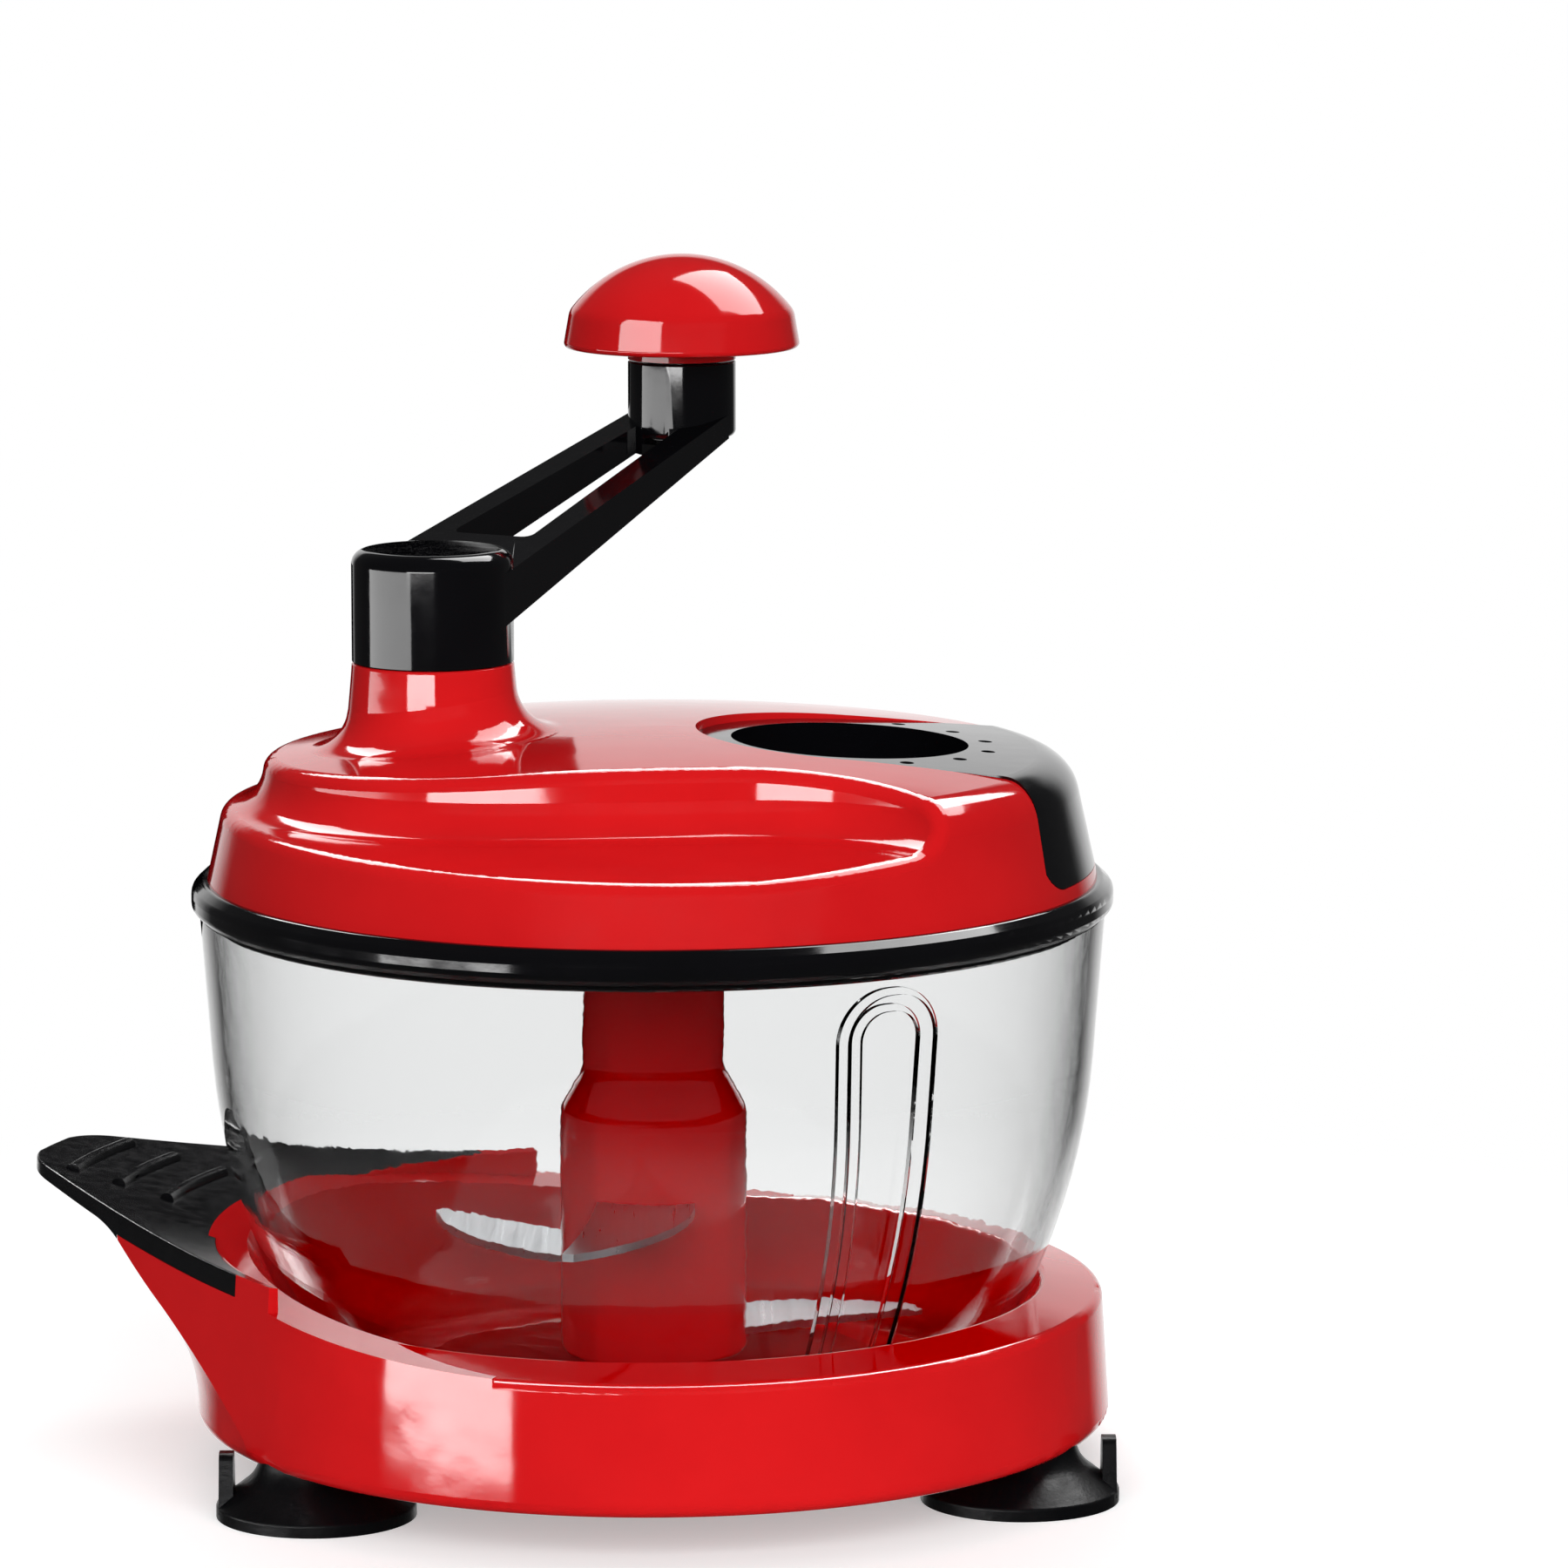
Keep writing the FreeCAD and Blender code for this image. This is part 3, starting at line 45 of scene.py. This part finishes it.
SLOTS = {part["node"]: part["material_slot"] for part in frame["record"]["subparts"]}

WHITE, BLACK = (1, 1, 1, 1), (0, 0, 0, 1)
NOISE_LOW, NOISE_HIGH = 0.3, 0.7    # where most of a noise texture's values lie


# Helpers

def add_object(name, data):
    """A new object, linked to the scene."""
    item = bpy.data.objects.new(name, data)
    bpy.context.scene.collection.objects.link(item)
    return item


def srgb(red, green, blue):
    """A colour written as 0-255 sRGB, in linear light."""
    def linear(value):
        value /= 255.0
        return value / 12.92 if value <= 0.04045 else ((value + 0.055) / 1.055) ** 2.4
    return (linear(red), linear(green), linear(blue), 1.0)


def calc(tree, operation, *terms):
    """A Math node's result; each term is a number or another node's output."""
    node = tree.nodes.new("ShaderNodeMath")
    node.operation = operation
    for socket, term in zip(node.inputs, terms):
        if isinstance(term, (int, float)):
            socket.default_value = term
        else:
            tree.links.new(term, socket)
    return node.outputs[0]


def ramp(tree, value, start, end, low, high, curve="LINEAR"):
    """A value between start and end, spread over low to high."""
    node = tree.nodes.new("ShaderNodeMapRange")
    node.interpolation_type = curve
    limits = {"From Min": start, "From Max": end, "To Min": low, "To Max": high}
    for socket, number in limits.items():
        node.inputs[socket].default_value = number
    tree.links.new(value, node.inputs["Value"])
    return node.outputs["Result"]


class Shader:
    """A material whose nodes are added one at a time around one Principled shader."""

    def __init__(self, name, **values):
        self.material = bpy.data.materials.new(name)
        self.material.use_nodes = True
        self.tree = self.material.node_tree
        self.surface = self.tree.nodes["Principled BSDF"]
        self.place = self.tree.nodes.new("ShaderNodeTexCoord").outputs["Object"]
        for socket, value in values.items():
            self.surface.inputs[socket.replace("_", " ")].default_value = value

    def add(self, kind, **settings):
        node = self.tree.nodes.new("ShaderNode" + kind)
        for key, value in settings.items():
            setattr(node, key, value)
        return node

    def join(self, output, socket):
        self.tree.links.new(output, socket)

    def noise(self, scale, detail, rough=0.5, stretch=(1, 1, 1)):
        """Noise with features of about 1/scale metres."""
        mapping = self.add("Mapping")
        mapping.inputs["Scale"].default_value = stretch
        self.join(self.place, mapping.inputs["Vector"])
        node = self.add("TexNoise")
        node.inputs["Scale"].default_value = scale
        node.inputs["Detail"].default_value = detail
        node.inputs["Roughness"].default_value = rough
        self.join(mapping.outputs["Vector"], node.inputs["Vector"])
        return node.outputs["Fac"]

    def spread(self, noise, low, high):
        """Noise, spread over low to high."""
        return ramp(self.tree, noise, NOISE_LOW, NOISE_HIGH, low, high)

    def rough(self, noise, low, high):
        """Roughness that varies with noise."""
        self.join(self.spread(noise, low, high), self.surface.inputs["Roughness"])

    def tint(self, share, first, second):
        """Base colour from first to second as share goes from 0 to 1."""
        node = self.add("MixRGB")
        node.inputs["Color1"].default_value = first
        node.inputs["Color2"].default_value = second
        self.join(share, node.inputs["Fac"])
        self.join(node.outputs["Color"], self.surface.inputs["Base Color"])

    def mottle(self, noise, first, second):
        """Base colour that varies with noise."""
        self.tint(self.spread(noise, 0, 1), first, second)

    def bump(self, heights, distance):
        """Bump from one or more (noise, share) heights; distance is in metres."""
        total = 0.0
        for noise, share in heights:
            total = calc(self.tree, "MULTIPLY_ADD", noise, share, total)
        node = self.add("Bump")
        node.inputs["Strength"].default_value = 1.0
        node.inputs["Distance"].default_value = distance
        self.join(total, node.inputs["Height"])
        self.join(node.outputs["Normal"], self.surface.inputs["Normal"])


# Materials

def red_plastic():
    """Glossy moulded red: faint flow marks in the colour and a very slight ripple in the gloss."""
    shader = Shader("red_plastic", IOR=1.5)
    shader.mottle(shader.noise(28, 4), srgb(204, 20, 24), srgb(216, 25, 28))
    shader.rough(shader.noise(160, 4), 0.055, 0.085)
    shader.bump([(shader.noise(55, 2), 1.0), (shader.noise(900, 2), 0.03)], 0.00008)
    return shader.material


def black_plastic():
    """Glossy moulded black with fine wiping marks."""
    shader = Shader("black_plastic", IOR=1.5)
    shader.mottle(shader.noise(40, 4), srgb(6, 6, 8), srgb(9, 9, 12))
    shader.rough(shader.noise(220, 5), 0.06, 0.11)
    shader.bump([(shader.noise(60, 2), 1.0), (shader.noise(1100, 2), 0.03)], 0.00007)
    return shader.material


def grip_plastic():
    """Satin black grip with a fine spark-eroded grain."""
    shader = Shader("grip", IOR=1.48, Specular_IOR_Level=0.4)
    shader.mottle(shader.noise(300, 4), srgb(7, 7, 9), srgb(11, 11, 13))
    shader.rough(shader.noise(400, 4), 0.16, 0.23)
    shader.bump([(shader.noise(1500, 3, 0.6), 1.0)], 0.00003)
    return shader.material


def foot_rubber():
    """Black rubber with a slight bloom."""
    shader = Shader("foot_rubber", IOR=1.52, Specular_IOR_Level=0.25)
    shader.mottle(shader.noise(120, 5), srgb(6, 6, 8), srgb(10, 10, 12))
    shader.rough(shader.noise(260, 5), 0.3, 0.46)
    shader.bump([(shader.noise(900, 3), 1.0)], 0.00006)
    return shader.material


def clear_plastic():
    """Clear moulded plastic with a slow ripple from the mould."""
    shader = Shader("clear_plastic", IOR=1.49, Transmission_Weight=1.0,
                    Base_Color=(0.975, 0.98, 0.98, 1))
    shader.rough(shader.noise(120, 4), 0.005, 0.03)
    shader.bump([(shader.noise(45, 2), 1.0), (shader.noise(260, 2), 0.12)], 0.0001)
    return shader.material


def steel():
    """Stainless steel, brushed across."""
    shader = Shader("steel", Metallic=1.0)
    lines = shader.noise(900, 4, 0.6, (1, 0.03, 1))
    shader.mottle(lines, srgb(196, 198, 202), srgb(212, 214, 217))
    shader.rough(lines, 0.26, 0.36)
    shader.bump([(lines, 1.0)], 0.00001)
    return shader.material


def nylon():
    """Off-white engineering plastic."""
    shader = Shader("nylon", IOR=1.53, Subsurface_Weight=0.15, Subsurface_Scale=0.002)
    shader.mottle(shader.noise(150, 4), srgb(226, 223, 213), srgb(236, 234, 226))
    shader.rough(shader.noise(300, 4), 0.36, 0.48)
    shader.bump([(shader.noise(1200, 3), 1.0)], 0.00005)
    return shader.material


def seal_rubber():
    """Soft dark seal."""
    shader = Shader("seal_rubber", IOR=1.45)
    shader.mottle(shader.noise(200, 4), srgb(62, 62, 64), srgb(78, 78, 80))
    shader.rough(shader.noise(300, 4), 0.5, 0.62)
    shader.bump([(shader.noise(1400, 3), 1.0)], 0.00005)
    return shader.material


MATERIALS = {
    "red_plastic": red_plastic(), "black_plastic": black_plastic(), "grip": grip_plastic(),
    "foot_rubber": foot_rubber(), "clear_plastic": clear_plastic(), "steel": steel(),
    "nylon": nylon(), "seal_rubber": seal_rubber(),
}
for name, node in NODES.items():
    node.data.materials.clear()
    node.data.materials.append(MATERIALS[SLOTS[name]])
NODES["bowl"].visible_shadow = False    # clear plastic lets the light in


# The crank's slot

HUB_X = -0.0432                         # the crank's axis
CRANK_LENGTH = 0.099                    # from there to the knob's axis
CRANK_ANGLE = math.radians(60)
NECK_R = 0.0116                         # just clear of the neck under the knob
SLOT_START = 0.022                      # from the crank's axis
SLOT_HALF, SLOT_TIP_HALF = 0.009, 0.005
SLOT_CORNER = 0.002
SLOT_LOW, SLOT_HIGH = 0.16, 0.21        # below and above the arm
CORNER_STEPS, END_STEPS = 4, 6


def slot_plan():
    """The slot's outline along the arm: rounded at the hub, and ending against the neck."""
    side = []
    for step in range(CORNER_STEPS + 1):
        turn = math.radians(90 * step / CORNER_STEPS)
        side.append((SLOT_START + SLOT_CORNER * (1 - math.sin(turn)),
                     SLOT_HALF - SLOT_CORNER * (1 - math.cos(turn))))
    side.reverse()
    end = []
    for step in range(END_STEPS + 1):
        across = SLOT_TIP_HALF * (1 - 2 * step / END_STEPS)
        end.append((CRANK_LENGTH - math.sqrt(NECK_R ** 2 - across ** 2), across))
    return side + end + [(along, -across) for along, across in reversed(side)]


def slot_prism():
    """The slot as an upright prism, to be cut from the arm."""
    ahead, aside = math.cos(CRANK_ANGLE), math.sin(CRANK_ANGLE)
    points = [(HUB_X + along * ahead - across * aside, along * aside + across * ahead)
              for along, across in slot_plan()]
    count = len(points)
    faces = [list(range(count))[::-1], list(range(count, 2 * count))]
    for i in range(count):
        after = (i + 1) % count
        faces.append([i, after, after + count, i + count])
    mesh = bpy.data.meshes.new("slot")
    mesh.from_pydata([(x, y, z) for z in (SLOT_LOW, SLOT_HIGH) for x, y in points], [], faces)
    bm = bmesh.new()
    bm.from_mesh(mesh)
    bmesh.ops.recalc_face_normals(bm, faces=bm.faces)
    bm.to_mesh(mesh)
    bm.free()
    return mesh


def slotted_arm():
    """The crank arm with its slot as wide as the photo shows it, so that light shows through."""
    cutter = add_object("slot", slot_prism())
    arm = add_object("slotted_arm", NODES["crank_arm"].data.copy())
    cut = arm.modifiers.new("slot", "BOOLEAN")
    cut.operation = "DIFFERENCE"
    cut.solver = "EXACT"
    cut.object = cutter
    shown = arm.evaluated_get(bpy.context.evaluated_depsgraph_get())
    shape = bpy.data.meshes.new_from_object(shown)
    arm.modifiers.clear()
    arm.data = shape
    bpy.data.objects.remove(cutter)
    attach(arm, "crank")
    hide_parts("crank_arm")


slotted_arm()


# Stage

NO_BOUNCE = 0.5             # a ray depth below this means no bounce of that kind
WORLD_FILL = 0.36           # what diffuse surfaces see
WORLD_GLOSS = 0.05          # what reflections see of the dim studio, away from the white sweep
SWEEP_SIDE = (0.78, 0.94)   # Y of a direction, from the sweep's edge to its full white
SWEEP_TOP = (0.3, 0.4)      # Z of a direction, from the sweep's full white to its edge
FLOOR_HALF = 3.0
FLOOR_NEAR, FLOOR_FAR = 0.15, 0.36      # from the axis, where the floor fades to plain white
FLOOR_TONE = (0.8, 0.8, 0.8, 1)
FLOOR_GLOW = 0.4            # what the floor adds by the object, where it is also lit
FLAG_Y = 0.2                # the dark cards stand this far behind the axis


def background_rays(tree):
    """Rays that see the background, straight or through the clear bowl, and rays that mirror it."""
    light = tree.nodes.new("ShaderNodeLightPath").outputs
    straight = calc(tree, "LESS_THAN", light["Diffuse Depth"], NO_BOUNCE)
    through = calc(tree, "MULTIPLY", light["Is Transmission Ray"], straight)
    glossy = calc(tree, "GREATER_THAN", light["Glossy Depth"], NO_BOUNCE)
    clear = calc(tree, "SUBTRACT", 1, glossy)
    seen = calc(tree, "MULTIPLY_ADD", through, clear, light["Is Camera Ray"])
    mirrored = calc(tree, "MULTIPLY_ADD", through, glossy, light["Is Glossy Ray"])
    return seen, mirrored


def backdrop_floor():
    """Plain pale floor: it keeps the object's soft shadow near by and fades to plain white."""
    mesh = bpy.data.meshes.new("floor")
    corners = ((-1, -1), (1, -1), (1, 1), (-1, 1))
    mesh.from_pydata([(FLOOR_HALF * x, FLOOR_HALF * y, 0) for x, y in corners], [], [(0, 1, 2, 3)])
    floor = add_object("floor", mesh)
    shader = Shader("floor_pale", Roughness=0.9, Specular_IOR_Level=0.0, Emission_Color=WHITE)
    reach = shader.add("VectorMath", operation="LENGTH")
    shader.join(shader.place, reach.inputs[0])
    fade = ramp(shader.tree, reach.outputs["Value"], FLOOR_NEAR, FLOOR_FAR, 0, 1, "SMOOTHSTEP")
    shader.tint(fade, FLOOR_TONE, BLACK)
    seen, _ = background_rays(shader.tree)
    glow = ramp(shader.tree, fade, 0, 1, FLOOR_GLOW, 1.0)
    white = calc(shader.tree, "MULTIPLY", seen, glow)
    shader.join(white, shader.surface.inputs["Emission Strength"])
    mesh.materials.append(shader.material)
    floor.visible_glossy = False


def dark_flag(name, left, right, low, high):
    """A dark upright card behind the object, which keeps the white sweep out of one black piece."""
    mesh = bpy.data.meshes.new(name)
    corners = ((left, low), (right, low), (right, high), (left, high))
    mesh.from_pydata([(x, FLAG_Y, z) for x, z in corners], [], [(0, 1, 2, 3)])
    flag = add_object(name, mesh)
    mesh.materials.append(Shader(name, Base_Color=BLACK, Specular_IOR_Level=0.0).material)
    flag.visible_camera = False
    flag.visible_diffuse = False
    flag.visible_transmission = False
    flag.visible_shadow = False


def studio_world():
    """Even fill, white to the camera and through the bowl; reflections see a white sweep behind."""
    world = bpy.data.worlds.new("studio")
    world.use_nodes = True
    bpy.context.scene.world = world
    tree = world.node_tree
    ground = tree.nodes["Background"]
    way = tree.nodes.new("ShaderNodeSeparateXYZ")
    tree.links.new(tree.nodes.new("ShaderNodeTexCoord").outputs["Generated"], way.inputs[0])
    behind = ramp(tree, way.outputs["Y"], *SWEEP_SIDE, 0, 1, "SMOOTHSTEP")
    below = ramp(tree, way.outputs["Z"], *SWEEP_TOP, 1, 0, "SMOOTHSTEP")
    sweep = ramp(tree, calc(tree, "MULTIPLY", behind, below), 0, 1, WORLD_GLOSS, 1.0)
    seen, mirrored = background_rays(tree)
    change = calc(tree, "SUBTRACT", sweep, WORLD_FILL)
    level = calc(tree, "MULTIPLY_ADD", mirrored, change, WORLD_FILL)
    level = calc(tree, "MULTIPLY_ADD", seen, 1 - WORLD_FILL, level)
    tree.links.new(level, ground.inputs["Strength"])
    ground.inputs["Color"].default_value = WHITE


def lamp(name, place, facing, width, height, radiance, gloss=True, soft=True, only=()):
    """A rectangular light; gloss and soft say which surfaces see it, and only which nodes do."""
    data = bpy.data.lights.new(name, "AREA")
    data.shape = "RECTANGLE"
    data.size = width
    data.size_y = height
    data.energy = radiance * 4 * width * height     # Cycles spreads it over four times the area
    item = add_object(name, data)
    item.location = place
    item.rotation_euler = (-Vector(facing)).to_track_quat("Z", "Y").to_euler()
    item.visible_camera = False
    item.visible_transmission = False
    item.visible_glossy = gloss
    item.visible_diffuse = soft
    if only:
        lit = bpy.data.collections.new(name + "_lit")
        for node in only:
            lit.objects.link(NODES[node])
        item.light_linking.receiver_collection = lit


def card(name, left, right, low, high, radiance, only=()):
    """An upright card 1 m off, seen only in reflections; left and right are degrees from -Y."""
    middle, half = math.radians((left + right) / 2), math.radians((right - left) / 2)
    out = Vector((math.sin(middle), -math.cos(middle), 0))
    place = out + Vector((0, 0, (low + high) / 2))
    lamp(name, place, -out, 2 * math.tan(half), high - low, radiance, soft=False, only=only)


backdrop_floor()
dark_flag("hub_flag", -0.08, -0.02, 0.19, 0.23)
dark_flag("grip_flag", -0.16, -0.045, 0.07, 0.16)
studio_world()
lamp("front_soft", (0.2, -1.5, 0.75), (-0.15, 1.5, -0.62), 2.4, 0.8, 3.6, gloss=False)
lamp("overhead_soft", (-0.05, 0.6, 1.2), (0.02, -0.5, -1.0), 1.1, 0.6, 1.7, gloss=False)
lamp("back_soft", (-0.3, 1.6, 0.8), (0.2, -1.5, -0.65), 1.2, 0.8, 2.0, gloss=False)
lamp("edge_strip", (0, 0.79, 0.98), (0, -0.85, -0.85), 1.4, 0.5, 7.0, soft=False,
     only=("lid_shell", "lid_rim_ring", "feed_insert", "base_tray"))
lamp("rim_strip", (0, 0.3, 1.2), (0, -0.3, -1.2), 1.6, 1.4, 14.0, soft=False,
     only=("base_tray", "handle_grip"))
lamp("window_top", (0.5, 0.55, 1.3), (-0.48, -0.5, -1.1), 1.0, 0.8, 6.0, soft=False)
# window_base stands below the floor, which reflections don't see.
card("window_base", -68, -34, -0.102, -0.056, 11.5)
card("window_hub", -98, -31, -0.02, 0.155, 4.3)
card("window_lid", -36, 1.3, 0.15, 0.215, 12.0)
card("window_knob", -69, -22, 0.41, 1.06, 7.0, only=("knob_shell",))


# Camera

CAMERA_PLACE = Vector((0, -1.5, 0.368))
CAMERA_AIM = Vector((0.026, 0, 0.1365))
CAMERA_LENS, SENSOR_WIDTH = 176.2, 36.0


def camera():
    """The photo's view, fitted to the object's outline in it."""
    data = bpy.data.cameras.new("camera")
    data.sensor_fit = "HORIZONTAL"
    data.sensor_width = SENSOR_WIDTH
    data.lens = CAMERA_LENS
    view = add_object("camera", data)
    view.location = CAMERA_PLACE
    view.rotation_euler = (CAMERA_AIM - CAMERA_PLACE).to_track_quat("-Z", "Y").to_euler()
    bpy.context.scene.camera = view


camera()
bpy.context.scene.view_settings.view_transform = "Standard"
